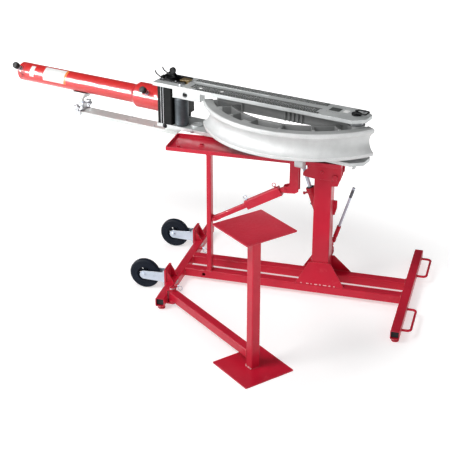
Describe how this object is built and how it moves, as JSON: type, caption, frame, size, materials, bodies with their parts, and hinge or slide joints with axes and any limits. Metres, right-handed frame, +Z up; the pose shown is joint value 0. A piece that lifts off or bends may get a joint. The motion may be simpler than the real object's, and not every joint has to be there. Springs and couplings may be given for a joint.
{
  "type": "hydraulic pipe bender",
  "caption": "Hydraulic pipe bender with a grooved bending shoe between two plates, on a tilting table over a tubular base with transport wheels and a swing-out pump stand.",
  "frame": {"origin": "on the floor, under the middle of the whole machine's box", "axes": "+X to the right along the base rails, from the wheels to the lifting handles; +Y away from the pump stand; +Z up"},
  "size_m": [2.681, 1.7668, 1.169],
  "materials": {
    "base_red": "gloss",
    "ram_red": "gloss",
    "zinc_plate": "satin",
    "wheel_black": "satin",
    "machined_steel": "satin",
    "aluminium_plate": "satin",
    "black_anodised": "satin",
    "dark_roller": "satin",
    "black_steel": "satin",
    "dark_label": "satin",
    "cast_aluminium": "satin",
    "bronze": "satin",
    "black_rubber": "matte",
    "chromed_rod": "polished"
  },
  "bodies": {
    "base": {"crossbars": "base_red", "long_rails": "base_red", "pedestal_column": "base_red", "pedestal_brackets": "base_red", "crossbar_feet": "base_red", "lift_handles": "base_red", "caster_plates": "base_red", "caster_forks": "zinc_plate", "caster_axles": "zinc_plate", "table_post": "base_red", "stand_hinge_lugs": "base_red", "stand_hinge_pin": "machined_steel", "jack_base_ears": "base_red", "hinge_pin": "base_red"},
    "near_wheel": {"near_wheel": "wheel_black"},
    "far_wheel": {"far_wheel": "wheel_black"},
    "near_hitch_pin": {"near_hitch_pin": "zinc_plate"},
    "far_hitch_pin": {"far_hitch_pin": "zinc_plate"},
    "stand": {"stand_arm": "base_red", "stand_column": "base_red", "stand_plates": "base_red"},
    "table": {"table_tray": "base_red", "table_brackets": "base_red", "hinge_bracket": "base_red", "table_bolts": "base_red", "frame_lower_plate": "aluminium_plate", "frame_upper_plate": "aluminium_plate", "frame_spacers": "machined_steel", "ram_mount_block": "black_anodised", "roller_yoke": "aluminium_plate", "roller_pin": "machined_steel", "chart_strips": "dark_label", "guide_block": "black_steel", "wire_springs": "black_steel", "ram_barrel": "ram_red", "ram_collar": "ram_red", "ram_couplers": "zinc_plate", "support_rail": "aluminium_plate"},
    "jack": {"jack_body": "base_red"},
    "jack_ram": {"jack_ram": "zinc_plate"},
    "jack_handle": {"jack_lever_socket": "base_red", "jack_lever": "zinc_plate"},
    "release_valve": {"jack_release_valve": "machined_steel"},
    "strut_inner": {"strut_inner_tube": "base_red"},
    "strut_outer": {"strut_outer_tube": "base_red"},
    "strut_lock_pin": {"strut_lock_pin": "zinc_plate"},
    "shoe": {"bending_shoe": "cast_aluminium", "shoe_bushing": "machined_steel"},
    "ram": {"ram_rod": "chromed_rod", "crosshead": "black_steel", "angle_pointer": "bronze"},
    "roller": {"pipe_roller": "dark_roller"},
    "frame_lock_pin": {"frame_lock_pin": "black_steel"},
    "rail_clamp": {"rail_clamp": "machined_steel"},
    "saddle": {"saddle_cradle": "aluminium_plate", "saddle_pad": "black_rubber"},
    "front_knob": {"front_star_knob": "machined_steel"},
    "rear_knob": {"rear_star_knob": "machined_steel"},
    "rear_cap": {"rear_dust_cap": "black_rubber"},
    "front_cap": {"front_dust_cap": "black_rubber"}
  },
  "joints": [
    {"name": "table_tilt", "type": "hinge", "parent": "base", "child": "table", "pos_m": [0.81739, 0.25915, 0.729], "axis": [0, 1, 0], "range_deg": [0, 50]},
    {"name": "jack_swing", "type": "hinge", "parent": "base", "child": "jack", "pos_m": [0.78239, 0.34715, 0.215], "axis": [0, 1, 0], "range_deg": [0, 10.66]},
    {"name": "jack_stroke", "type": "slide", "parent": "jack", "child": "jack_ram", "axis": [-0.3305, 0, 0.9438], "range_m": [0, 0.142]},
    {"name": "jack_handle_pump", "type": "hinge", "parent": "jack", "child": "jack_handle", "pos_m": [0.79189, 0.39215, 0.255], "axis": [0, 1, 0], "range_deg": [-25, 8]},
    {"name": "release_valve_turn", "type": "hinge", "parent": "jack", "child": "release_valve", "pos_m": [0.74751, 0.38715, 0.24199], "axis": [0.9438, 0, 0.3305], "range_deg": [0, 360]},
    {"name": "strut_swing", "type": "hinge", "parent": "base", "child": "strut_inner", "pos_m": [0.13439, 0.17665, 0.408], "axis": [0, -1, 0], "range_deg": [0, 17.38]},
    {"name": "strut_extend", "type": "slide", "parent": "strut_inner", "child": "strut_outer", "axis": [0.8685, 0, 0.4958], "range_m": [0, 0.1756]},
    {"name": "strut_pin_pull", "type": "slide", "parent": "strut_outer", "child": "strut_lock_pin", "axis": [-0.4958, 0, 0.8685], "range_m": [0, 0.012]},
    {"name": "stand_swing", "type": "hinge", "parent": "base", "child": "stand", "pos_m": [-0.01361, -0.17685, 0], "axis": [0, 0, 1], "range_deg": [-35, 15]},
    {"name": "near_wheel_spin", "type": "hinge", "parent": "base", "child": "near_wheel", "pos_m": [-0.23661, 0.00115, 0.09], "axis": [0, 1, 0], "continuous": true},
    {"name": "far_wheel_spin", "type": "hinge", "parent": "base", "child": "far_wheel", "pos_m": [-0.23661, 0.55915, 0.09], "axis": [0, 1, 0], "continuous": true},
    {"name": "near_hitch_pin_pull", "type": "slide", "parent": "base", "child": "near_hitch_pin", "axis": [1, 0, 0], "range_m": [0, 0.03]},
    {"name": "far_hitch_pin_pull", "type": "slide", "parent": "base", "child": "far_hitch_pin", "axis": [1, 0, 0], "range_m": [0, 0.03]},
    {"name": "shoe_swing", "type": "hinge", "parent": "table", "child": "shoe", "pos_m": [0.91593, 0.2138, 0.971], "axis": [0, 0, 1], "range_deg": [0, 90]},
    {"name": "ram_stroke", "type": "slide", "parent": "table", "child": "ram", "axis": [0.967, -0.2546, 0], "range_m": [0, 0.501]},
    {"name": "roller_spin", "type": "hinge", "parent": "table", "child": "roller", "pos_m": [-0.13932, 0.43579, 0.943], "axis": [0, 0, 1], "continuous": true},
    {"name": "lock_pin_lift", "type": "slide", "parent": "table", "child": "frame_lock_pin", "axis": [0, 0, 1], "range_m": [0, 0.15]},
    {"name": "saddle_rail_slide", "type": "slide", "parent": "table", "child": "rail_clamp", "axis": [0.967, -0.2546, 0], "range_m": [0, 0.3]},
    {"name": "saddle_height", "type": "slide", "parent": "rail_clamp", "child": "saddle", "axis": [0, 0, 1], "range_m": [-0.018, 0]},
    {"name": "front_knob_turn", "type": "hinge", "parent": "rail_clamp", "child": "front_knob", "pos_m": [-0.88237, 0.6614, 0.815], "axis": [0.2546, 0.967, 0], "continuous": true},
    {"name": "rear_knob_turn", "type": "hinge", "parent": "rail_clamp", "child": "rear_knob", "pos_m": [-0.85945, 0.74844, 0.815], "axis": [0.2546, 0.967, 0], "continuous": true},
    {"name": "rear_cap_pull", "type": "slide", "parent": "table", "child": "rear_cap", "axis": [-0.2086, -0.7922, 0.5736], "range_m": [0, 0.045]},
    {"name": "front_cap_pull", "type": "slide", "parent": "table", "child": "front_cap", "axis": [-0.2086, -0.7922, 0.5736], "range_m": [0, 0.045]}
  ],
  "couplings": [
    {"joint": "jack_swing", "follows": "table_tilt", "ratio": 0.21308},
    {"joint": "jack_stroke", "follows": "table_tilt", "m_per_rad": 0.16261},
    {"joint": "strut_swing", "follows": "table_tilt", "ratio": 0.3475},
    {"joint": "strut_extend", "follows": "table_tilt", "m_per_rad": 0.20111},
    {"joint": "ram_stroke", "follows": "shoe_swing", "m_per_rad": 0.31831}
  ]
}
